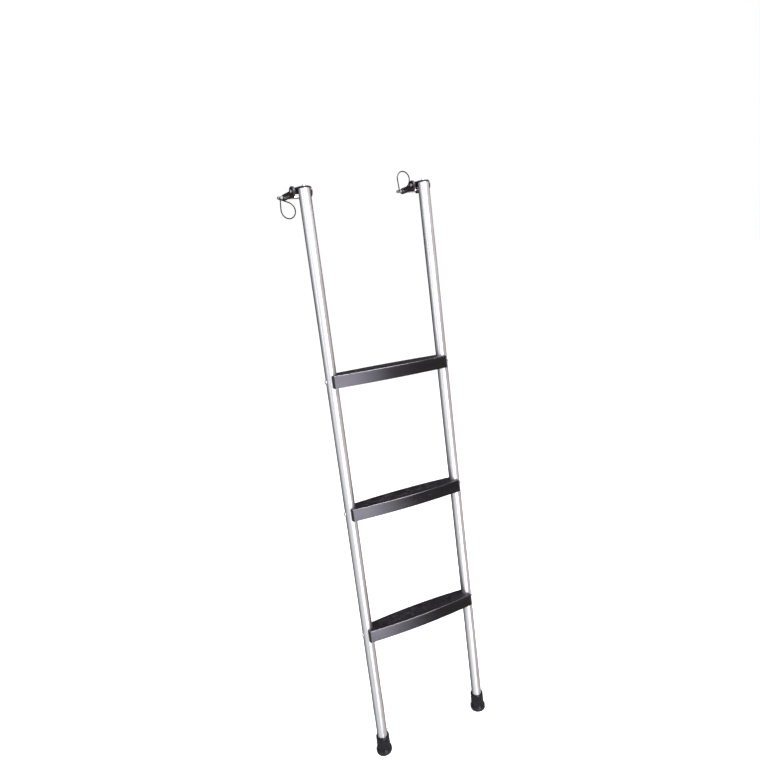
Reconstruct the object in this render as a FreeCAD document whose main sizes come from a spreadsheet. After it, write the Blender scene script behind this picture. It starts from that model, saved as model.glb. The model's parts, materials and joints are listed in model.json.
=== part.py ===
"""Clip-on starter ladder: two tube rails, three moulded steps, rubber feet and two fork clamps.

Frame: millimetres, +Z up along the rails, +X across the steps, +Y towards the ladder that carries
this one. The origin is midway between the two foot soles.

Each clamp is a saddle that turns on a screw in the rail's top plug, a fork hinged behind the rail,
a lock pin that slides through the fork's tips, and a wire pull loop on the pin's head.
"""
import FreeCAD, Part
import math
import os
import Sketcher
from FreeCAD import Placement, Rotation, Vector

os.makedirs("parts", exist_ok=True)
doc = FreeCAD.newDocument("starter_ladder")

# Driving dimensions, in millimetres and degrees.
SIZES = {
    # rails
    "rail_spacing": 268.0,
    "tube_radius": 12.7,
    "tube_wall": 1.65,
    "rail_top": 1335.5,
    # steps: the plan bows out at the front and back, heights are from the screw axis
    "top_step_height": 936.0,
    "step_pitch": 304.8,
    "step_half_length": 137.0,
    "front_end": 21.5,
    "front_middle": 29.0,
    "back_end": 13.4,
    "back_middle": 21.0,
    "step_rise": 14.5,
    "step_drop": 13.5,
    "step_wall": 3.0,
    "hollow_half_length": 112.0,
    "notch_clearance": 0.15,
    "rib_thickness": 2.4,
    "rib_drop": 7.0,
    "rib_spacing": 44.0,
    "spine_front": 4.0,
    "nosing_radius": 3.0,
    "step_corner_radius": 4.5,
    "edge_radius": 2.0,
    "grip_half_length": 104.0,
    "grip_width": 1.8,
    "grip_depth": 0.8,
    "grip_spacing": 4.6,
    "grip_count": 7,
    "grip_shift": 3.0,
    # screws that hold the steps
    "screw_radius": 2.4,
    "screw_head_radius": 4.4,
    "screw_head_height": 2.8,
    "screw_length": 44.0,
    # feet
    "foot_height": 45.0,
    "foot_floor": 8.0,
    "foot_base_radius": 19.0,
    "foot_top_radius": 16.2,
    "foot_flare_height": 15.0,
    "flute_count": 24,
    "flute_radius": 1.2,
    "flute_margin": 3.0,
    "inner_groove": 5.0,
    "outer_groove": 11.0,
    "groove_width": 3.0,
    "groove_slope": 0.6,
    "groove_depth": 1.5,
    # plug in the top of each rail
    "plug_length": 28.0,
    "plug_flange": 1.0,
    "saddle_screw_length": 24.0,
    "saddle_head_radius": 3.6,
    "saddle_head_height": 3.8,
    # saddle: a round cap, a strap and a knuckle behind and a little below the rail's top
    "moving_gap": 0.3,
    "web_thickness": 3.0,
    "cap_radius": 12.7,
    "cap_edge_radius": 0.8,
    "strap_end": 11.2,
    "shoulder_back": 12.6,
    "knuckle_half": 16.9,
    "knuckle_radius": 5.3,
    "hinge_back": 18.3,
    "hinge_below": 1.4,
    "hinge_radius": 2.75,
    "hinge_head_radius": 3.8,
    "hinge_head_height": 1.4,
    "running_gap": 0.05,
    # fork
    "arm_inside": 17.2,
    "arm_outside": 21.5,
    "boss_radius": 11.5,
    "boss_below": 3.0,
    "top_taper": 0.6,
    "bottom_taper": 0.6,
    "tip_below": 6.0,
    "tip_radius": 6.2,
    "bridge_front": 24.1,
    "bridge_back": 28.0,
    "bridge_top": 2.6,
    "bridge_bottom": 5.9,
    "lock_back": 68.5,
    "lock_radius": 3.2,
    # lock pin, distances out from the rail's axis plane
    "collar_radius": 4.4,
    "collar_height": 1.2,
    "head_radius": 3.3,
    "head_chamfer": 0.7,
    "head_flat": 2.6,
    "eye_out": 30.0,
    "pin_head_end": 32.5,
    "pin_tip_end": 26.0,
    "pin_tip_radius": 1.9,
    "pin_tip_length": 2.6,
    # pull loop
    "wire_radius": 1.25,
    "wire_bend": 2.25,
    "wire_end": 1.0,
    "loop_radius": 18.0,
    "loop_reach": 30.0,
    "leg_offset": 8.2,
    "loop_tilt": 33.0,
    # how far each clamp is turned on its rail
    "swivel_left": 9.0,
    "swivel_right": 3.0,
}

sheet = doc.addObject("Spreadsheet::Sheet", "dims")
for row, (alias, value) in enumerate(SIZES.items(), start=1):
    sheet.set("A%d" % row, alias)
    sheet.set("B%d" % row, str(value))
    sheet.setAlias("B%d" % row, alias)
doc.recompute()

GUESS_RADIUS = 20.0
SIDES = {"left": -1, "right": 1}
STEPS = ("top", "middle", "bottom")
nodes = []


# ---------------------------------------------------------------- helpers

def new_body(label):
    """A PartDesign body that becomes the node called label."""
    body = doc.addObject("PartDesign::Body", label)
    body.Label = label
    nodes.append(body)
    return body


def sketch_on(body, name, role, offset=None):
    """A sketch on one of the body's own planes, raised along its normal by an expression."""
    sketch = body.newObject("Sketcher::SketchObject", name)
    plane = next(item for item in body.Origin.OriginFeatures if item.Role == role)
    sketch.AttachmentSupport = [(plane, "")]
    sketch.MapMode = "FlatFace"
    if offset:
        sketch.setExpression(".AttachmentOffset.Base.z", offset)
    return sketch


def constrain(sketch, constraint, expression):
    index = sketch.addConstraint(constraint)
    sketch.setExpression("Constraints[%d]" % index, expression)


def pin_point(sketch, geometry, position, x, y, near=(1.0, 1.0)):
    """Hold a point of the geometry at the place that two expressions give.

    The solver starts from near, which matters only where the outline has arcs.
    """
    constrain(sketch, Sketcher.Constraint("DistanceX", -1, 1, geometry, position, near[0]), x)
    constrain(sketch, Sketcher.Constraint("DistanceY", -1, 1, geometry, position, near[1]), y)


def add_circle(sketch, radius, x="0", y="0"):
    circle = Part.Circle(Vector(1, 1, 0), Vector(0, 0, 1), 1)
    index = sketch.addGeometry(circle)
    constrain(sketch, Sketcher.Constraint("Radius", index, 1.0), radius)
    pin_point(sketch, index, 3, x, y)


def add_outline(sketch, points):
    """A closed outline of straight edges through points given as pairs of expressions."""
    count = len(points)
    guess = []
    for step in range(count):
        angle = 2 * math.pi * step / count
        guess.append(Vector(GUESS_RADIUS * math.cos(angle), GUESS_RADIUS * math.sin(angle), 0))
    edges = []
    for step in range(count):
        edges.append(sketch.addGeometry(Part.LineSegment(guess[step], guess[(step + 1) % count])))
    for step in range(count):
        following = edges[(step + 1) % count]
        sketch.addConstraint(Sketcher.Constraint("Coincident", edges[step], 2, following, 1))
    for edge, (x, y) in zip(edges, points):
        pin_point(sketch, edge, 1, x, y)


def add_rectangle(sketch, left, bottom, right, top):
    add_outline(sketch, [(left, bottom), (right, bottom), (right, top), (left, top)])


def pad(body, sketch, length, midplane=False):
    feature = body.newObject("PartDesign::Pad", sketch.Name + "_pad")
    feature.Profile = sketch
    feature.setExpression("Length", length)
    feature.Midplane = midplane
    doc.recompute()
    return feature


def pocket(body, sketch, length=None, midplane=False, reverse=False):
    """Cut the sketch out of the body, right through it when no length is given."""
    before = body.Shape.Volume
    feature = body.newObject("PartDesign::Pocket", sketch.Name + "_pocket")
    feature.Profile = sketch
    feature.Midplane = midplane
    feature.Reversed = reverse
    if length:
        feature.setExpression("Length", length)
    else:
        feature.Type = 1
    doc.recompute()
    if body.Shape.Volume > before - 0.5:
        raise RuntimeError(feature.Label + " cuts nothing")
    return feature


def turned(body, axis, points):
    """A solid of revolution about the sketch's own H_Axis (along X) or V_Axis (along Z)."""
    sketch = sketch_on(body, body.Name + "_profile", "XZ_Plane")
    add_outline(sketch, points)
    feature = body.newObject("PartDesign::Revolution", body.Name + "_turned")
    feature.Profile = sketch
    feature.ReferenceAxis = (sketch, [axis])
    doc.recompute()
    return feature


def fillet(body, base, radius, wanted):
    """Round the edges of the body's last feature that the test function picks."""
    return soften(body, base, "Fillet", "Radius", radius, wanted)


def chamfer(body, base, size, wanted):
    """Bevel the edges of the body's last feature that the test function picks."""
    return soften(body, base, "Chamfer", "Size", size, wanted)


def soften(body, base, kind, measure, size, wanted):
    doc.recompute()
    names = []
    for number, edge in enumerate(base.Shape.Edges, start=1):
        if wanted(edge):
            names.append("Edge%d" % number)
    feature = body.newObject("PartDesign::" + kind, "%s_%s" % (base.Name, kind))
    feature.Base = (base, names)
    feature.setExpression(measure, size)
    doc.recompute()
    return feature


def lies_in_plane(edge, axis, level):
    """True where the edge's box has no width along the axis and stands at the level."""
    box = edge.BoundBox
    low = (box.XMin, box.YMin, box.ZMin)[axis]
    high = (box.XMax, box.YMax, box.ZMax)[axis]
    return abs(low - level) < 0.01 and abs(high - level) < 0.01


# ---------------------------------------------------------------- rails, plugs and feet

def make_rail(side, sign):
    body = new_body("rail_" + side)
    ring = sketch_on(body, body.Name + "_ring", "XY_Plane")
    add_circle(ring, "dims.tube_radius")
    add_circle(ring, "dims.tube_radius - dims.tube_wall")
    pad(body, ring, "dims.rail_top - dims.foot_floor")
    for number, name in enumerate(STEPS):
        hole = sketch_on(body, "%s_%s_hole" % (body.Name, name), "YZ_Plane")
        height = "dims.top_step_height - %d * dims.step_pitch - dims.foot_floor" % number
        add_circle(hole, "dims.screw_radius", "0", height)
        pocket(body, hole, midplane=True)
    body.Placement.Base = Vector(sign * SIZES["rail_spacing"] / 2, 0, SIZES["foot_floor"])


def make_plug(side, sign):
    body = new_body("rail_plug_" + side)
    bore = "dims.tube_radius - dims.tube_wall"
    turned(body, "V_Axis", [
        ("dims.screw_radius", "-dims.plug_length"),
        (bore, "-dims.plug_length"),
        (bore, "0"),
        ("dims.tube_radius", "0"),
        ("dims.tube_radius", "dims.plug_flange"),
        ("dims.screw_radius", "dims.plug_flange"),
    ])
    body.Placement.Base = Vector(sign * SIZES["rail_spacing"] / 2, 0, SIZES["rail_top"])


def ring_groove(start):
    """The four corners of a ring groove in the sole, from its inner edge outwards."""
    return [
        (start, "0"),
        (start + " + dims.groove_slope", "dims.groove_depth"),
        (start + " + dims.groove_width - dims.groove_slope", "dims.groove_depth"),
        (start + " + dims.groove_width", "0"),
    ]


def make_foot(side, sign):
    """A fluted rubber ferrule that flares to its sole, with two ring grooves underneath."""
    body = new_body("foot_" + side)
    revolved = turned(body, "V_Axis", [
        ("0", "0"),
        *ring_groove("dims.inner_groove"),
        *ring_groove("dims.outer_groove"),
        ("dims.foot_base_radius", "0"),
        ("dims.foot_base_radius", "dims.foot_floor"),
        ("dims.foot_top_radius", "dims.foot_flare_height"),
        ("dims.foot_top_radius", "dims.foot_height"),
        ("dims.tube_radius", "dims.foot_height"),
        ("dims.tube_radius", "dims.foot_floor"),
        ("0", "dims.foot_floor"),
    ])

    def outer_rim(edge):
        at_sole = lies_in_plane(edge, 2, 0)
        at_top = lies_in_plane(edge, 2, SIZES["foot_height"])
        width = edge.BoundBox.XLength / 2
        return (at_sole or at_top) and width > SIZES["foot_top_radius"] - 0.1

    fillet(body, revolved, "dims.edge_radius", outer_rim)
    cutter = sketch_on(body, body.Name + "_flute", "XY_Plane", "dims.foot_height + 1")
    add_circle(cutter, "dims.flute_radius", "dims.foot_top_radius + 0.5 * dims.flute_radius", "0")
    flute = pocket(body, cutter, "dims.foot_height - dims.foot_floor - dims.flute_margin")
    pattern = body.newObject("PartDesign::PolarPattern", body.Name + "_flutes")
    pattern.Originals = [flute]
    pattern.Axis = (cutter, ["N_Axis"])
    pattern.Angle = 360
    pattern.setExpression("Occurrences", "dims.flute_count")
    body.Tip = pattern
    body.Placement.Base = Vector(sign * SIZES["rail_spacing"] / 2, 0, 0)


# ---------------------------------------------------------------- steps

def bowed_plan(sketch, half, front_end, front_middle, back_end, back_middle):
    """A barrel-shaped plan: straight ends, with arcs that bow outwards at the front and back.

    Each argument is a pair: the expression and its present value, which only starts the solver.
    """
    def bow(end, middle):
        rise = middle[1] - end[1]
        radius = (half[1] ** 2 + rise ** 2) / (2 * rise)
        text = "({m}) - (({w})^2 + (({m}) - ({e}))^2) / (2 * (({m}) - ({e})))"
        centre = text.format(m=middle[0], e=end[0], w=half[0])
        return radius, math.asin(half[1] / radius), centre

    front_radius, front_angle, front_centre = bow(front_end, front_middle)
    back_radius, back_angle, back_centre = bow(back_end, back_middle)
    down = 1.5 * math.pi
    up = 0.5 * math.pi
    normal = Vector(0, 0, 1)
    front_circle = Part.Circle(Vector(0, front_radius - front_middle[1], 0), normal, front_radius)
    back_circle = Part.Circle(Vector(0, back_middle[1] - back_radius, 0), normal, back_radius)
    front = sketch.addGeometry(
        Part.ArcOfCircle(front_circle, down - front_angle, down + front_angle))
    right = sketch.addGeometry(
        Part.LineSegment(Vector(half[1], -front_end[1], 0), Vector(half[1], back_end[1], 0)))
    back = sketch.addGeometry(Part.ArcOfCircle(back_circle, up - back_angle, up + back_angle))
    left = sketch.addGeometry(
        Part.LineSegment(Vector(-half[1], back_end[1], 0), Vector(-half[1], -front_end[1], 0)))
    for first, second in ((front, right), (right, back), (back, left), (left, front)):
        sketch.addConstraint(Sketcher.Constraint("Coincident", first, 2, second, 1))
    for line, end, sign, y in (
            (right, 1, 1, (front_end, -1)), (right, 2, 1, (back_end, 1)),
            (left, 1, -1, (back_end, 1)), (left, 2, -1, (front_end, -1))):
        (text, value), direction = y
        near = (sign * half[1], direction * value)
        pin_point(sketch, line, end, "%d * (%s)" % (sign, half[0]),
                  "%d * (%s)" % (direction, text), near)
    front_near = front_radius - front_middle[1]
    back_near = back_middle[1] - back_radius
    constrain(sketch, Sketcher.Constraint("DistanceY", -1, 1, front, 3, front_near),
              "-(%s)" % front_centre)
    constrain(sketch, Sketcher.Constraint("DistanceY", -1, 1, back, 3, back_near), back_centre)


def make_step(name, number):
    body = new_body("step_" + name)
    label = body.Name
    wall = SIZES["step_wall"]
    plan = sketch_on(body, label + "_plan", "XY_Plane", "-dims.step_drop")
    bowed_plan(
        plan,
        ("dims.step_half_length", SIZES["step_half_length"]),
        ("dims.front_end", SIZES["front_end"]),
        ("dims.front_middle", SIZES["front_middle"]),
        ("dims.back_end", SIZES["back_end"]),
        ("dims.back_middle", SIZES["back_middle"]),
    )
    block = pad(body, plan, "dims.step_rise + dims.step_drop")

    def corner(edge):
        return edge.BoundBox.ZLength > SIZES["step_drop"]

    def top_edge(edge):
        return lies_in_plane(edge, 2, SIZES["step_rise"])

    rounded = fillet(body, block, "dims.step_corner_radius", corner)
    fillet(body, rounded, "dims.nosing_radius", top_edge)

    hollow = sketch_on(body, label + "_hollow", "XY_Plane", "-dims.step_drop")
    bowed_plan(
        hollow,
        ("dims.hollow_half_length", SIZES["hollow_half_length"]),
        ("dims.front_end", SIZES["front_end"]),
        ("dims.front_middle - dims.step_wall", SIZES["front_middle"] - wall),
        ("dims.back_end", SIZES["back_end"]),
        ("dims.back_middle - dims.step_wall", SIZES["back_middle"] - wall),
    )
    depth = "dims.step_rise + dims.step_drop - dims.step_wall"
    pocket(body, hollow, depth, reverse=True)

    ribs = sketch_on(body, label + "_ribs", "XY_Plane", "-dims.rib_drop")
    half = "0.5 * dims.rib_thickness"
    for place in (-2, -1, 0, 1, 2):
        centre = "%d * dims.rib_spacing" % place
        left = "%s - %s" % (centre, half)
        right = "%s + %s" % (centre, half)
        add_rectangle(ribs, left, "-(dims.front_end + 1)", right, "-dims.spine_front - " + half)
        add_rectangle(ribs, left, "-dims.spine_front + " + half, right, "dims.back_end + 1")
    pad(body, ribs, "dims.rib_drop + dims.step_rise - 0.5 * dims.step_wall")
    spine = sketch_on(body, label + "_spine", "XY_Plane", "-dims.rib_drop")
    add_rectangle(spine, "-dims.hollow_half_length - 1", "-dims.spine_front - " + half,
                  "dims.hollow_half_length + 1", "-dims.spine_front + " + half)
    pad(body, spine, "dims.rib_drop + dims.step_rise - 0.5 * dims.step_wall")

    notches = sketch_on(body, label + "_notches", "XY_Plane")
    for sign in (-1, 1):
        centre = "%d * 0.5 * dims.rail_spacing" % sign
        add_circle(notches, "dims.tube_radius + dims.notch_clearance", centre, "0")
    pocket(body, notches, midplane=True)

    for side, sign in SIDES.items():
        reach = "%d * (0.5 * dims.rail_spacing)" % sign
        pilot = sketch_on(body, "%s_pilot_%s" % (label, side), "YZ_Plane", reach)
        add_circle(pilot, "dims.screw_radius")
        pocket(body, pilot, "dims.screw_length - dims.tube_radius", reverse=sign < 0)

    grip = sketch_on(body, label + "_grip", "XY_Plane", "dims.step_rise")
    first = "-0.5 * (dims.grip_count - 1) * dims.grip_spacing - dims.grip_shift"
    add_rectangle(grip, "-dims.grip_half_length", "%s - 0.5 * dims.grip_width" % first,
                  "dims.grip_half_length", "%s + 0.5 * dims.grip_width" % first)
    groove = pocket(body, grip, "dims.grip_depth")
    pattern = body.newObject("PartDesign::LinearPattern", label + "_grips")
    pattern.Originals = [groove]
    pattern.Direction = (grip, ["V_Axis"])
    pattern.setExpression("Length", "(dims.grip_count - 1) * dims.grip_spacing")
    pattern.setExpression("Occurrences", "dims.grip_count")
    body.Tip = pattern
    height = SIZES["top_step_height"] - number * SIZES["step_pitch"]
    body.Placement.Base = Vector(0, 0, height)


def pan_head_profile(radius, height, shank, length):
    """Half outline along the axis: head towards negative, shank from zero to the length."""
    return [
        ("-" + height, "0"),
        ("-" + height, "0.5 * " + radius),
        ("-0.75 * " + height, "0.85 * " + radius),
        ("-0.3 * " + height, radius),
        ("0", radius),
        ("0", shank),
        ("%s - %s" % (length, shank), shank),
        (length, "0.3 * " + shank),
        (length, "0"),
    ]


def add_cross_recess(body, plane, face, radius, depth, reverse):
    """A cross-shaped driver recess, cut into a head of that radius from its outer face."""
    recess = sketch_on(body, body.Name + "_recess", plane, face)
    arm = "0.52 * " + radius
    slot = "0.13 * " + radius
    add_outline(recess, [
        ("-" + arm, "-" + slot), ("-" + slot, "-" + slot), ("-" + slot, "-" + arm),
        (slot, "-" + arm), (slot, "-" + slot), (arm, "-" + slot),
        (arm, slot), (slot, slot), (slot, arm),
        ("-" + slot, arm), ("-" + slot, slot), ("-" + arm, slot),
    ])
    pocket(body, recess, depth, reverse=reverse)


def make_step_screws(name, number):
    """The two screws of one step, driven in from the rails' outer sides."""
    height = SIZES["top_step_height"] - number * SIZES["step_pitch"]
    reach = (SIZES["rail_spacing"] / 2) + SIZES["tube_radius"]
    members = []
    for side, sign in SIDES.items():
        body = doc.addObject("PartDesign::Body", "screw_%s_%s" % (name, side))
        turned(body, "H_Axis", pan_head_profile(
            "dims.screw_head_radius", "dims.screw_head_height", "dims.screw_radius", "dims.screw_length"))
        add_cross_recess(body, "YZ_Plane", "-dims.screw_head_height", "dims.screw_head_radius",
                         "0.5 * dims.screw_head_height", True)
        turn = Rotation(Vector(0, 0, 1), 0 if sign < 0 else 180)
        body.Placement = Placement(Vector(sign * reach, 0, height), turn)
        members.append(body)
    group = doc.addObject("Part::Compound", "step_screws_" + name)
    group.Label = "step_screws_" + name
    group.Links = members
    nodes.append(group)


# ---------------------------------------------------------------- clamps

def clamp_placement(side, sign, local=Vector(0, 0, 0)):
    """Where a clamp piece goes: local is measured from the rail's top, turned by the swivel."""
    turn = Rotation(Vector(0, 0, 1), SIZES["swivel_" + side])
    top = Vector(sign * SIZES["rail_spacing"] / 2, 0, SIZES["rail_top"])
    return Placement(top + turn.multVec(local), turn)


def make_saddle_screw(side, sign):
    """The screw that the saddle turns on, standing head up in the rail's plug."""
    body = new_body("saddle_screw_" + side)
    lift = "(dims.plug_flange + 2 * dims.moving_gap + dims.web_thickness)"
    points = []
    for along, out in pan_head_profile("dims.saddle_head_radius", "dims.saddle_head_height",
                                       "dims.screw_radius", "dims.saddle_screw_length"):
        points.append((out, "%s - (%s)" % (lift, along)))
    turned(body, "V_Axis", points)
    add_cross_recess(body, "XY_Plane", lift + " + dims.saddle_head_height",
                     "dims.saddle_head_radius", "0.5 * dims.saddle_head_height", False)
    body.Placement = clamp_placement(side, sign)


def make_saddle(side, sign):
    """A round cap over the rail's top, a strap that widens behind it and a hinge knuckle."""
    body = new_body("saddle_" + side)
    label = body.Name
    web_low = "(dims.plug_flange + dims.moving_gap)"
    web_top = "(%s + dims.web_thickness)" % web_low
    knuckle_low = "-dims.knuckle_radius - dims.hinge_below"
    clear_of_tube = "dims.tube_radius + dims.moving_gap"
    cap = sketch_on(body, label + "_cap", "XY_Plane", web_low)
    add_circle(cap, "dims.cap_radius")
    pad(body, cap, "dims.web_thickness")
    strap = sketch_on(body, label + "_strap", "XY_Plane", web_low)
    add_outline(strap, [
        ("-dims.cap_radius", "0"),
        ("dims.cap_radius", "0"),
        ("dims.knuckle_half", "dims.strap_end"),
        ("-dims.knuckle_half", "dims.strap_end"),
    ])
    plate = pad(body, strap, "dims.web_thickness")

    def top_rim(edge):
        level = SIZES["plug_flange"] + SIZES["moving_gap"] + SIZES["web_thickness"]
        return lies_in_plane(edge, 2, level) and not lies_in_plane(edge, 1, SIZES["strap_end"])

    fillet(body, plate, "dims.cap_edge_radius", top_rim)
    block = sketch_on(body, label + "_block", "YZ_Plane")
    add_outline(block, [
        ("dims.strap_end - 1", web_low),
        (clear_of_tube, web_low),
        (clear_of_tube, knuckle_low),
        ("dims.hinge_back", knuckle_low),
        ("dims.hinge_back", "dims.knuckle_radius - dims.hinge_below"),
        ("dims.shoulder_back", web_top),
        ("dims.strap_end", web_top),
        ("dims.strap_end - 1", "%s - 1" % web_top),
    ])
    pad(body, block, "2 * dims.knuckle_half", midplane=True)
    barrel = sketch_on(body, label + "_barrel", "YZ_Plane")
    add_circle(barrel, "dims.knuckle_radius", "dims.hinge_back", "-dims.hinge_below")
    pad(body, barrel, "2 * dims.knuckle_half", midplane=True)
    bore = sketch_on(body, label + "_bore", "XY_Plane")
    add_circle(bore, "dims.screw_radius + dims.running_gap")
    pocket(body, bore, midplane=True)
    hinge = sketch_on(body, label + "_hinge", "YZ_Plane")
    add_circle(hinge, "dims.hinge_radius", "dims.hinge_back", "-dims.hinge_below")
    pocket(body, hinge, midplane=True)
    body.Placement = clamp_placement(side, sign)


def make_hinge_pin(side, sign):
    """The riveted pin that the fork swings on, fixed in the saddle's knuckle."""
    body = new_body("hinge_pin_" + side)
    shoulder = "(dims.arm_outside + dims.moving_gap)"
    outer = "(%s + dims.hinge_head_height)" % shoulder
    points = [("-%s" % outer, "0")]
    points += [("-%s" % outer, "0.7 * dims.hinge_head_radius")]
    points += [("-%s - 0.4 * dims.hinge_head_height" % shoulder, "dims.hinge_head_radius")]
    points += [("-%s" % shoulder, "dims.hinge_head_radius"), ("-%s" % shoulder, "dims.hinge_radius")]
    points += [(shoulder, "dims.hinge_radius"), (shoulder, "dims.hinge_head_radius")]
    points += [("%s + 0.4 * dims.hinge_head_height" % shoulder, "dims.hinge_head_radius")]
    points += [(outer, "0.7 * dims.hinge_head_radius"), (outer, "0")]
    turned(body, "H_Axis", points)
    local = Vector(0, SIZES["hinge_back"], -SIZES["hinge_below"])
    body.Placement = clamp_placement(side, sign, local)


def taper_line(slope, direction):
    """An arm's upper or lower line, from under the hinge to where it is tangent to the round tip."""
    across = "dims.tip_radius * sin(%s)" % slope
    rise = "dims.tip_radius * cos(%s)" % slope
    run = "(dims.lock_back - dims.hinge_back + %s) * tan(%s)" % (across, slope)
    return [
        ("dims.hinge_back", "-dims.tip_below + %d * (%s + %s)" % (direction, rise, run)),
        ("dims.lock_back + " + across, "-dims.tip_below + %d * %s" % (direction, rise)),
    ]


def make_fork(side, sign):
    """Two tapered arms outside the saddle's knuckle, joined by a bridge behind it."""
    body = new_body("fork_" + side)
    label = body.Name
    width = "2 * dims.arm_outside"
    boss = sketch_on(body, label + "_boss", "YZ_Plane")
    add_circle(boss, "dims.boss_radius", "dims.hinge_back", "-dims.boss_below")
    pad(body, boss, width, midplane=True)
    bar = sketch_on(body, label + "_bar", "YZ_Plane")
    add_outline(bar, taper_line("dims.bottom_taper", -1) + taper_line("dims.top_taper", 1)[::-1])
    pad(body, bar, width, midplane=True)
    tip = sketch_on(body, label + "_tip", "YZ_Plane")
    add_circle(tip, "dims.tip_radius", "dims.lock_back", "-dims.tip_below")
    solid = pad(body, tip, width, midplane=True)

    def outer_face_edge(edge):
        left = lies_in_plane(edge, 0, -SIZES["arm_outside"])
        return left or lies_in_plane(edge, 0, SIZES["arm_outside"])

    chamfer(body, solid, "0.4 * dims.edge_radius", outer_face_edge)
    slot = sketch_on(body, label + "_slot", "YZ_Plane")
    add_rectangle(slot, "-dims.lock_back", "-dims.lock_back", "2 * dims.lock_back", "dims.lock_back")
    add_rectangle(slot, "dims.bridge_front", "-dims.bridge_bottom",
                  "dims.bridge_back", "dims.bridge_top")
    pocket(body, slot, "2 * dims.arm_inside", midplane=True)
    holes = sketch_on(body, label + "_holes", "YZ_Plane")
    add_circle(holes, "dims.hinge_radius + dims.running_gap", "dims.hinge_back", "-dims.hinge_below")
    add_circle(holes, "dims.lock_radius + dims.running_gap", "dims.lock_back", "-dims.tip_below")
    pocket(body, holes, midplane=True)
    body.Placement = clamp_placement(side, sign)


def make_lock_pin(side, sign):
    """A pin across the fork's tips, its flattened head outboard with an eye for the loop."""
    body = new_body("lock_pin_" + side)
    label = body.Name
    shoulder = "-(dims.arm_outside + dims.moving_gap)"
    collar_end = "(%s - dims.collar_height)" % shoulder
    turned(body, "H_Axis", [
        ("-dims.pin_head_end", "0"),
        ("-dims.pin_head_end", "dims.head_radius - dims.head_chamfer"),
        ("-dims.pin_head_end + dims.head_chamfer", "dims.head_radius"),
        (collar_end, "dims.head_radius"),
        (collar_end, "dims.collar_radius"),
        (shoulder, "dims.collar_radius"),
        (shoulder, "dims.lock_radius"),
        ("dims.pin_tip_end - dims.pin_tip_length", "dims.lock_radius"),
        ("dims.pin_tip_end", "dims.pin_tip_radius"),
        ("dims.pin_tip_end", "0"),
    ])
    flats = sketch_on(body, label + "_flats", "XY_Plane")
    beyond = "2 * dims.head_radius"
    for low, high in (("-" + beyond, "-dims.head_flat"), ("dims.head_flat", beyond)):
        add_rectangle(flats, "-dims.pin_head_end - 1", low, collar_end, high)
    pocket(body, flats, midplane=True)
    eye = sketch_on(body, label + "_eye", "XZ_Plane")
    add_circle(eye, "dims.wire_radius + dims.running_gap", "-dims.eye_out", "0")
    pocket(body, eye, midplane=True)
    local = Vector(0, SIZES["lock_back"], -SIZES["tip_below"])
    body.Placement = clamp_placement(side, sign, local)


def rounded_path(points, radii):
    """A wire of straight runs joined by tangent arcs, one radius for each inner point."""
    edges = []
    start = points[0]
    for before, corner, after, radius in zip(points, points[1:], points[2:], radii):
        incoming = (before - corner).normalize()
        outgoing = (after - corner).normalize()
        half = incoming.getAngle(outgoing) / 2
        cut = radius / math.tan(half)
        first = corner + incoming * cut
        last = corner + outgoing * cut
        bisector = (incoming + outgoing).normalize()
        middle = corner + bisector * (radius / math.sin(half) - radius)
        if (first - start).Length > 1e-4:
            edges.append(Part.LineSegment(start, first).toShape())
        edges.append(Part.Arc(first, middle, last).toShape())
        start = last
    edges.append(Part.LineSegment(start, points[-1]).toShape())
    return Part.Wire(edges)


def make_pull_loop(side, sign):
    """A pear-shaped wire loop whose two ends enter the pin's eye from opposite sides."""
    radius = SIZES["loop_radius"]
    reach = SIZES["loop_reach"]
    offset = SIZES["leg_offset"]
    wire = SIZES["wire_radius"]
    hang = math.radians(90 - SIZES["loop_tilt"])
    turns = 9
    spread = math.acos(radius / reach)
    sweep = 2 * math.pi - 2 * spread
    part = sweep / turns
    corner_radius = radius / math.cos(part / 2)
    # The leg nearer the fork passes behind its tip. The left loop hangs, the right one stands.
    end = SIZES["wire_end"]
    points = [Vector(0, end, 0), Vector(0, offset, 0)]
    for turn in range(turns):
        angle = hang + math.pi + spread + part * (turn + 0.5)
        side_shift = offset * (1 - 2 * (turn + 0.5) / turns)
        along = reach * math.cos(hang) + corner_radius * math.cos(angle)
        up = reach * math.sin(hang) + corner_radius * math.sin(angle)
        points.append(Vector(along, side_shift, sign * up))
    points += [Vector(0, -offset, 0), Vector(0, -end, 0)]
    bend = SIZES["wire_bend"]
    radii = [bend] + [0.97 * radius] * turns + [bend]
    path = rounded_path(points, radii)
    profile = Part.Wire([Part.Circle(points[0], Vector(0, 1, 0), wire).toShape()])
    swept = path.makePipeShell([profile], True, False)
    print("pull loop", side, "valid", swept.isValid(),
          "volume", round(swept.Volume), "expected", round(math.pi * wire ** 2 * path.Length))
    feature = doc.addObject("Part::Feature", "pull_loop_" + side)
    feature.Label = "pull_loop_" + side
    feature.Shape = swept
    local = Vector(-SIZES["eye_out"], SIZES["lock_back"], -SIZES["tip_below"])
    feature.Placement = clamp_placement(side, sign, local)
    nodes.append(feature)


# ---------------------------------------------------------------- build and write

for side, sign in SIDES.items():
    make_rail(side, sign)
    make_plug(side, sign)
    make_foot(side, sign)
    make_saddle_screw(side, sign)
    make_saddle(side, sign)
    make_hinge_pin(side, sign)
    make_fork(side, sign)
    make_lock_pin(side, sign)
    make_pull_loop(side, sign)
for number, name in enumerate(STEPS):
    make_step(name, number)
    make_step_screws(name, number)

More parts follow.
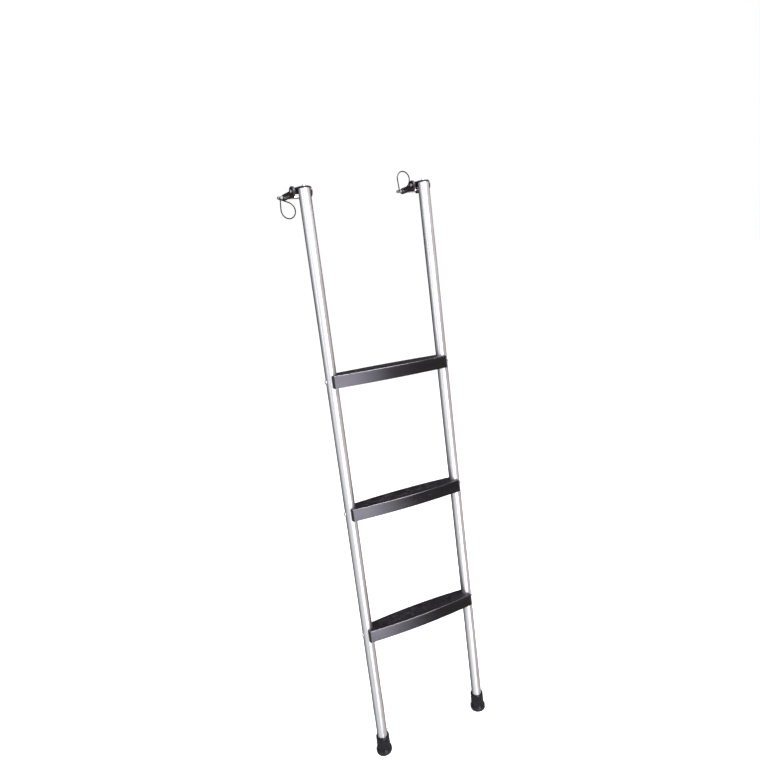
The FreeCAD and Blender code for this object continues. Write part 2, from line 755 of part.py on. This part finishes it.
doc.recompute()
for item in doc.Objects:
    if "Invalid" in item.State or "Error" in item.State:
        raise RuntimeError("%s failed: %s" % (item.Label, item.State))
for node in nodes:
    if node.Shape.isNull() or not node.Shape.isValid():
        raise RuntimeError(node.Label + " has no valid shape")
    box = node.Shape.BoundBox
    print("%-22s solids %d  X %.1f..%.1f  Y %.1f..%.1f  Z %.1f..%.1f" % (
        node.Label, len(node.Shape.Solids), box.XMin, box.XMax,
        box.YMin, box.YMax, box.ZMin, box.ZMax))
    node.Shape.exportStep("parts/%s.step" % node.Label)
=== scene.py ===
"""Looks, light and camera for the clip-on starter ladder. Metres, +Z up along the rails."""
import json
import math

import bpy
from mathutils import Matrix, Vector

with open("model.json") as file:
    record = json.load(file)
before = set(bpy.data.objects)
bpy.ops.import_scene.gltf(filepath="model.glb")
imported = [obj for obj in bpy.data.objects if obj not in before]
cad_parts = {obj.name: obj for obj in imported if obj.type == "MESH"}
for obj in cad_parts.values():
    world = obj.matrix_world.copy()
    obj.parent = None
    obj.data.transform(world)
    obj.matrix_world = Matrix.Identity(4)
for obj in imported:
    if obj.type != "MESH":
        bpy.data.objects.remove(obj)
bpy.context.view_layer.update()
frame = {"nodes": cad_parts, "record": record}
nodes = frame["nodes"]

MM = 0.001
MICRON = 0.001 * MM
WHITE = (1.0, 1.0, 1.0)
ANY_WAY = (1, 1, 1)


# ---------------------------------------------------------------- shader nodes
def add_node(tree, kind, **settings):
    node = tree.nodes.new(kind)
    for key, value in settings.items():
        setattr(node, key, value)
    return node


def join(tree, source, target):
    """Links a socket to target, or sets target to a plain value."""
    if isinstance(source, bpy.types.NodeSocket):
        tree.links.new(source, target)
    else:
        target.default_value = source


def blend_colours(tree, amount, first, second):
    """A colour part way from first to second; each is a socket or three numbers."""
    node = add_node(tree, "ShaderNodeMix", data_type="RGBA")
    sockets = {socket.identifier: socket for socket in node.inputs}
    join(tree, amount, node.inputs["Factor"])
    for value, name in ((first, "A_Color"), (second, "B_Color")):
        is_socket = isinstance(value, bpy.types.NodeSocket)
        join(tree, value if is_socket else (*value, 1.0), sockets[name])
    return next(socket for socket in node.outputs if socket.identifier == "Result_Color")


def scaled(colour, factor):
    return tuple(factor * channel for channel in colour)


class Paint:
    """One procedural material, made around a Principled shader."""

    def __init__(self, name, **sockets):
        self.material = bpy.data.materials.new(name)
        self.material.use_nodes = True
        self.tree = self.material.node_tree
        self.shader = self.tree.nodes["Principled BSDF"]
        self.coords = self.add("ShaderNodeTexCoord")
        self.place = self.coords.outputs["Object"]
        self.relief = None
        for socket, value in sockets.items():
            self.shader.inputs[socket.replace("_", " ")].default_value = value

    def add(self, kind, **settings):
        return add_node(self.tree, kind, **settings)

    def join(self, source, target):
        join(self.tree, source, target)

    def stretched(self, stretch, shift=0.0):
        """The place on the object, scaled along each axis and moved so that two textures differ."""
        mapping = self.add("ShaderNodeMapping")
        mapping.inputs["Scale"].default_value = stretch
        mapping.inputs["Location"].default_value = (shift, shift * 0.7, shift * 1.3)
        self.join(self.place, mapping.inputs["Vector"])
        return mapping.outputs["Vector"]

    def noise(self, scale, detail=3.0, stretch=ANY_WAY, shift=0.0, rough=0.5, warp=0.0):
        """Noise with about scale features in a metre, drawn out along an axis by a small stretch."""
        texture = self.add("ShaderNodeTexNoise")
        texture.inputs["Scale"].default_value = scale
        texture.inputs["Detail"].default_value = detail
        texture.inputs["Roughness"].default_value = rough
        texture.inputs["Distortion"].default_value = warp
        self.join(self.stretched(stretch, shift), texture.inputs["Vector"])
        return texture.outputs["Fac"]

    def cells(self, scale):
        """Distance to the nearest of about scale points in a metre."""
        texture = self.add("ShaderNodeTexVoronoi", feature="F1")
        texture.inputs["Scale"].default_value = scale
        self.join(self.stretched(ANY_WAY), texture.inputs["Vector"])
        return texture.outputs["Distance"]

    def span(self, value, low, high, to_low=0.0, to_high=1.0):
        """value from low..high carried to to_low..to_high, and held there outside."""
        node = self.add("ShaderNodeMapRange")
        ends = {"From Min": low, "From Max": high, "To Min": to_low, "To Max": to_high}
        for socket, number in ends.items():
            node.inputs[socket].default_value = number
        self.join(value, node.inputs["Value"])
        return node.outputs["Result"]

    def calculate(self, operation, *values):
        node = self.add("ShaderNodeMath", operation=operation)
        for value, socket in zip(values, node.inputs):
            self.join(value, socket)
        return node.outputs["Value"]

    def times(self, first, second):
        return self.calculate("MULTIPLY", first, second)

    def plus(self, first, second):
        return self.calculate("ADD", first, second)

    def blend(self, amount, first, second):
        return blend_colours(self.tree, amount, first, second)

    def up_part(self, vector):
        """The Z of a vector."""
        node = self.add("ShaderNodeSeparateXYZ")
        self.join(vector, node.inputs["Vector"])
        return node.outputs["Z"]

    def edges(self, radius):
        """1 on the convex and concave edges of the mesh, 0 on its faces."""
        full_edge = 0.12
        bevel = self.add("ShaderNodeBevel", samples=6)
        bevel.inputs["Radius"].default_value = radius
        geometry = self.add("ShaderNodeNewGeometry")
        dot = self.add("ShaderNodeVectorMath", operation="DOT_PRODUCT")
        self.join(bevel.outputs["Normal"], dot.inputs[0])
        self.join(geometry.outputs["Normal"], dot.inputs[1])
        away = self.calculate("SUBTRACT", 1.0, dot.outputs["Value"])
        return self.span(away, 0.0, full_edge)

    def bump(self, height, distance, strength):
        """Adds a relief of that depth, in metres, to the ones added before."""
        node = self.add("ShaderNodeBump")
        node.inputs["Distance"].default_value = distance
        node.inputs["Strength"].default_value = strength
        self.join(height, node.inputs["Height"])
        if self.relief is not None:
            self.join(self.relief, node.inputs["Normal"])
        self.relief = node.outputs["Normal"]
        self.join(self.relief, self.shader.inputs["Normal"])

    def finish(self, colour, rough=None):
        self.join(colour, self.shader.inputs["Base Color"])
        if rough is not None:
            self.join(rough, self.shader.inputs["Roughness"])
        return self.material


# ---------------------------------------------------------------- materials
def aluminium_tube():
    """Drawn tube: fine lines along it, soft smudges, a few dark specks."""
    dull, bright = (0.58, 0.575, 0.57), (0.82, 0.82, 0.825)
    smudged = (0.66, 0.65, 0.655)
    speck_grey = (0.36, 0.35, 0.35)
    paint = Paint("aluminium_tube", Metallic=1.0, Specular_Tint=(0.12, 0.11, 0.11, 1.0))
    lines = paint.noise(900, detail=2.0, stretch=(1, 1, 0.004))
    bands = paint.noise(140, detail=2.0, stretch=(1, 1, 0.006), shift=3.1)
    smudge = paint.noise(26, detail=4.0, stretch=(1, 1, 0.35), shift=1.7, warp=0.4)
    specks = paint.span(paint.noise(1500, detail=1.0, stretch=(1, 1, 0.3), shift=5.0), 0.68, 0.78)
    tone = paint.calculate("MULTIPLY_ADD", lines, 0.45, paint.times(bands, 0.55))
    colour = paint.blend(paint.span(tone, 0.34, 0.66), dull, bright)
    colour = paint.blend(paint.span(smudge, 0.45, 0.8, 0.0, 0.28), colour, smudged)
    colour = paint.blend(paint.times(specks, 0.45), colour, speck_grey)
    rough = paint.span(lines, 0.3, 0.7, 0.24, 0.34)
    rough = paint.plus(rough, paint.span(smudge, 0.35, 0.75, 0.0, 0.12))
    paint.bump(lines, 30 * MICRON, 0.5)
    paint.bump(paint.noise(34, detail=2.0, stretch=(1, 1, 0.25), shift=9.0), 120 * MICRON, 0.25)
    return paint.finish(colour, rough)


def step_plastic():
    """Moulded black plastic: a dull, fine-grained tread, a smoother lip, scuffed edges."""
    dark, light = (0.0010, 0.0009, 0.0011), (0.0024, 0.0021, 0.0024)
    tread_brown = (0.0034, 0.0026, 0.0022)
    scuff_grey = (0.060, 0.055, 0.053)
    edge_grey = (0.10, 0.097, 0.098)
    paint = Paint("step_plastic", Specular_IOR_Level=0.45)
    tread = paint.span(paint.up_part(paint.coords.outputs["Normal"]), 0.75, 0.95)
    cast = paint.noise(38, stretch=(0.25, 1, 1), shift=2.0)
    scuffs = paint.noise(260, detail=4.0, stretch=(0.22, 1, 1), shift=6.0, rough=0.65)
    scuffs = paint.span(scuffs, 0.60, 0.74)
    worn = paint.times(paint.edges(1.2 * MM), paint.span(paint.noise(120, shift=4.0), 0.42, 0.68))
    colour = paint.blend(paint.span(cast, 0.3, 0.7), dark, light)
    colour = paint.blend(paint.times(tread, 0.35), colour, tread_brown)
    colour = paint.blend(paint.times(scuffs, paint.span(tread, 0, 1, 0.04, 0.11)), colour, scuff_grey)
    colour = paint.blend(paint.times(worn, 0.35), colour, edge_grey)
    rough = paint.span(tread, 0, 1, 0.20, 0.50)
    rough = paint.plus(rough, paint.span(cast, 0.3, 0.7, -0.03, 0.05))
    rough = paint.plus(rough, paint.times(scuffs, 0.12))
    paint.bump(paint.noise(1900, detail=2.0), 60 * MICRON, 0.22)
    paint.bump(paint.cells(900), 80 * MICRON, 0.12)
    return paint.finish(colour, rough)


def foot_rubber():
    """Moulded rubber with a faint bloom, dusty and rubbed near the sole."""
    dark, light = (0.0018, 0.0018, 0.0021), (0.0045, 0.0042, 0.0045)
    dust_grey = (0.11, 0.10, 0.09)
    edge_grey = (0.06, 0.06, 0.062)
    dust_top = 12 * MM
    paint = Paint("foot_rubber", Specular_IOR_Level=0.22)
    low = paint.span(paint.up_part(paint.place), 0.0, dust_top, 1.0, 0.0)
    bloom = paint.noise(120, detail=4.0, shift=2.0)
    dust = paint.noise(420, detail=4.0, shift=1.0, rough=0.7)
    dust = paint.times(low, paint.span(dust, 0.4, 0.7))
    colour = paint.blend(paint.span(bloom, 0.3, 0.7), dark, light)
    colour = paint.blend(paint.times(dust, 0.35), colour, dust_grey)
    colour = paint.blend(paint.times(paint.edges(0.8 * MM), 0.16), colour, edge_grey)
    rough = paint.span(bloom, 0.3, 0.7, 0.20, 0.36)
    rough = paint.plus(rough, paint.times(dust, 0.25))
    paint.bump(paint.noise(1500), 80 * MICRON, 0.3)
    return paint.finish(colour, rough)


def moulded_black(name, light, rough_low, rough_high, edge_colour):
    """Glass-filled black moulding: fine grain, faint flow marks, edges rubbed paler."""
    paint = Paint(name, Specular_IOR_Level=0.3)
    flow = paint.noise(150, detail=4.0, stretch=(1, 0.4, 1), shift=7.0, warp=0.8)
    fibres = paint.noise(2400, detail=2.0, stretch=(1, 0.25, 1), shift=3.0)
    worn = paint.times(paint.edges(0.7 * MM), paint.span(paint.noise(320, shift=4.0), 0.4, 0.65))
    colour = paint.blend(paint.span(flow, 0.3, 0.7), scaled(light, 0.6), light)
    colour = paint.blend(paint.times(worn, 0.35), colour, edge_colour)
    rough = paint.span(flow, 0.3, 0.7, rough_low, rough_high)
    paint.bump(fibres, 60 * MICRON, 0.5)
    return paint.finish(colour, rough)


def plated_steel(name, dark, light, rough_low, rough_high, drawn):
    """Plated steel: crystal mottle, fine tool marks, and painted shade that darkens its edges and
    creases.
    """
    paint = Paint(name, Metallic=1.0)
    mottle = paint.cells(520)
    marks = paint.noise(2600, detail=2.0, stretch=drawn, shift=2.0)
    stain = paint.noise(190, detail=4.0, shift=5.0)
    tone = paint.calculate("MULTIPLY_ADD", mottle, 0.5, paint.times(stain, 0.6))
    colour = paint.blend(paint.span(tone, 0.2, 0.75), dark, light)
    # painted shade: the edges and creases are darkened almost to black
    colour = paint.blend(paint.times(paint.edges(0.7 * MM), 0.8), colour, scaled(dark, 0.2))
    rough = paint.span(marks, 0.3, 0.7, rough_low, rough_high)
    rough = paint.plus(rough, paint.span(stain, 0.45, 0.8, 0.0, 0.12))
    paint.bump(marks, 20 * MICRON, 0.5)
    return paint.finish(colour, rough)


ALONG_PIN = (1, 0.05, 0.05)
PAINTS = {
    "aluminium_tube": aluminium_tube(),
    "step_plastic": step_plastic(),
    "foot_rubber": foot_rubber(),
    "plug_plastic": moulded_black("plug_plastic", (0.020, 0.019, 0.019), 0.42, 0.55, (0.08, 0.08, 0.08)),
    "clamp_black": moulded_black("clamp_black", (0.0090, 0.0062, 0.0066), 0.34, 0.48, (0.09, 0.08, 0.08)),
    "steel_hardware": plated_steel("steel_hardware", (0.55, 0.55, 0.54), (0.80, 0.80, 0.80),
                                   0.20, 0.34, ANY_WAY),
    "pin_steel": plated_steel("pin_steel", (0.52, 0.52, 0.53), (0.78, 0.78, 0.79),
                              0.16, 0.30, ALONG_PIN),
    "wire_steel": plated_steel("wire_steel", (0.010, 0.010, 0.010), (0.040, 0.040, 0.039),
                               0.16, 0.30, (0.1, 0.1, 0.1)),
}
for subpart in frame["record"]["subparts"]:
    piece = nodes[subpart["node"]]
    piece.data.materials.clear()
    piece.data.materials.append(PAINTS[subpart["material_slot"]])


# ---------------------------------------------------------------- floor, light and camera
def place_in_scene(name, data):
    obj = bpy.data.objects.new(name, data)
    bpy.context.scene.collection.objects.link(obj)
    return obj


def make_floor():
    """A wide pale floor under the soles, with a faint unevenness in its tone.

    It isn't mirrored and casts no shadow: the metal and the gloss show the studio walls all the way down.
    """
    half = 60.0
    gap_under_soles = 0.2 * MM
    corners = [(-half, -half, 0), (half, -half, 0), (half, half, 0), (-half, half, 0)]
    mesh = bpy.data.meshes.new("floor")
    mesh.from_pydata(corners, [], [(0, 1, 2, 3)])
    floor = place_in_scene("floor", mesh)
    floor.location.z = -gap_under_soles
    floor.visible_glossy = False
    floor.visible_shadow = False
    paint = Paint("floor", Roughness=0.9, Specular_IOR_Level=0.1)
    colour = paint.blend(paint.noise(3.0), scaled(WHITE, 0.94), scaled(WHITE, 0.96))
    mesh.materials.append(paint.finish(colour))


# How bright the studio wall is all the way round. At 0 and 1 it is behind the viewer, at 0.25 on
# the left, at 0.5 behind the ladder and at 0.75 on the right.
WALL_LEVELS = ((0.0, 0.90), (0.09, 0.95), (0.20, 0.88), (0.26, 0.66), (0.32, 0.32), (0.40, 0.05),
               (0.655, 0.03), (0.70, 0.28), (0.745, 0.66), (0.80, 0.86), (0.86, 0.62), (0.90, 0.32),
               (0.94, 0.34), (1.0, 0.70))
RIGHT_WALL_START = 0.6
RIGHT_WARMTH, LEFT_WARMTH = 0.07, -0.02


def make_world():
    """White studio: the camera sees plain white, and the metal sees pale walls with darker gaps."""
    world = bpy.data.worlds.new("studio")
    bpy.context.scene.world = world
    world.use_nodes = True
    tree = world.node_tree
    coords = add_node(tree, "ShaderNodeTexCoord")
    split = add_node(tree, "ShaderNodeSeparateXYZ")
    join(tree, coords.outputs["Generated"], split.inputs["Vector"])
    turn = add_node(tree, "ShaderNodeMath", operation="ARCTAN2")
    join(tree, split.outputs["X"], turn.inputs[0])
    join(tree, split.outputs["Y"], turn.inputs[1])
    share = add_node(tree, "ShaderNodeMapRange")
    share.inputs["From Min"].default_value = -math.pi
    share.inputs["From Max"].default_value = math.pi
    join(tree, turn.outputs["Value"], share.inputs["Value"])
    walls = add_node(tree, "ShaderNodeValToRGB")
    ramp = walls.color_ramp
    while len(ramp.elements) < len(WALL_LEVELS):
        ramp.elements.new(0.5)
    for element, (position, level) in zip(ramp.elements, WALL_LEVELS):
        warmth = RIGHT_WARMTH if position > RIGHT_WALL_START else LEFT_WARMTH
        element.position = position
        element.color = (level, level * (1 - warmth), level * (1 - 2 * warmth), 1)
    join(tree, share.outputs["Result"], walls.inputs["Fac"])
    path = add_node(tree, "ShaderNodeLightPath")
    seen = blend_colours(tree, path.outputs["Is Camera Ray"], walls.outputs["Color"], WHITE)
    background = tree.nodes["Background"]
    join(tree, seen, background.inputs["Color"])
    background.inputs["Strength"].default_value = 1.0


def aim(obj, place, target):
    obj.location = place
    obj.rotation_euler = (Vector(target) - Vector(place)).to_track_quat("-Z", "Y").to_euler()


# name, place, what it points at, width and height, power in watts
PANELS = (
    ("front_box", (0.0, -2.4, 0.55), (0.0, 0, 0.55), (0.7, 4.0), 80.0),
    ("fill_box", (0.54, -2.4, 0.55), (0.0, 0, 0.55), (0.38, 4.0), 19.0),
    ("left_strip", (-2.4, -0.9, 1.3), (0, 0, 0.9), (0.5, 2.2), 6.0),
    ("edge_strip", (0.36, -0.95, 2.45), (0.36, 0, 0.9), (0.95, 0.4), 110.0),
)
PANEL_COLOUR = (0.87, 0.84, 1.0)


def make_lights():
    """A wide sun from above for the floor and the tops, and panels that give the gloss its shine."""
    sun = bpy.data.lights.new("overhead", "SUN")
    sun.energy = 2.4
    sun.angle = math.radians(60)
    lamp = place_in_scene("overhead", sun)
    lamp.visible_glossy = False
    aim(lamp, (-0.6, 0.5, 3.2), (0, 0, 0))
    for name, place, target, size, power in PANELS:
        light = bpy.data.lights.new(name, "AREA")
        light.shape = "RECTANGLE"
        light.size, light.size_y = size
        light.energy = power
        light.color = PANEL_COLOUR
        aim(place_in_scene(name, light), place, target)


def make_camera():
    """The viewer stands to the left of the ladder, at chest height, and looks slightly down."""
    yaw, pitch, roll = (math.radians(angle) for angle in (22.701, 10.989, -6.636))
    place = Vector((-0.43698, -1.15957, 1.14968))
    sensor_width = 36.0
    view_in_frames = 0.73567
    off_centre = 0.03947
    nearest, farthest = 0.01, 300.0
    ahead = Vector((math.sin(yaw) * math.cos(pitch), math.cos(yaw) * math.cos(pitch), -math.sin(pitch)))
    level = Vector((math.cos(yaw), -math.sin(yaw), 0))
    above = level.cross(ahead)
    right = math.cos(roll) * level + math.sin(roll) * above
    up = -math.sin(roll) * level + math.cos(roll) * above
    data = bpy.data.cameras.new("camera")
    data.sensor_width = sensor_width
    data.lens = view_in_frames * sensor_width
    data.shift_x = -off_centre
    data.clip_start = nearest
    data.clip_end = farthest
    camera = place_in_scene("camera", data)
    turn = Matrix((right, up, -ahead)).transposed().to_4x4()
    camera.matrix_world = Matrix.Translation(place) @ turn
    bpy.context.scene.camera = camera


make_floor()
make_world()
make_lights()
make_camera()
bpy.context.scene.view_settings.view_transform = "Standard"
